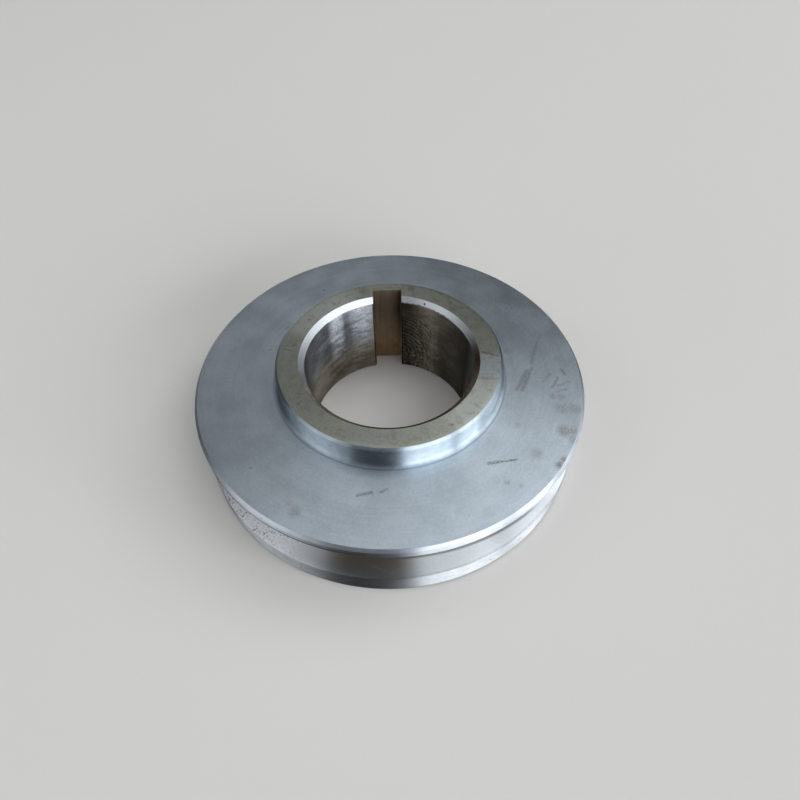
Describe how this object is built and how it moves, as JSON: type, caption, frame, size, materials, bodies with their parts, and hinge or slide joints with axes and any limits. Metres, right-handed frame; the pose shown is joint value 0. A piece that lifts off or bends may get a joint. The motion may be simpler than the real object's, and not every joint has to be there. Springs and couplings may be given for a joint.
{
  "type": "v belt pulley",
  "caption": "Grooved steel disc for a V-belt, turned in one piece with a raised hub on one side and a chamfered through bore with a square keyway.",
  "frame": {"origin": "on the axis of rotation, in the plane of the flat back face that the pulley rests on", "axes": "+Z along the bore axis towards the raised hub; +Y from the axis towards the keyway"},
  "size_m": [0.102, 0.102, 0.027],
  "materials": {
    "turned_steel": "machined bright steel: satin faces with fine circular turning marks, polished lands and hub side, used bore"
  },
  "bodies": {
    "root": {"pulley_body": "turned_steel"}
  },
  "joints": []
}
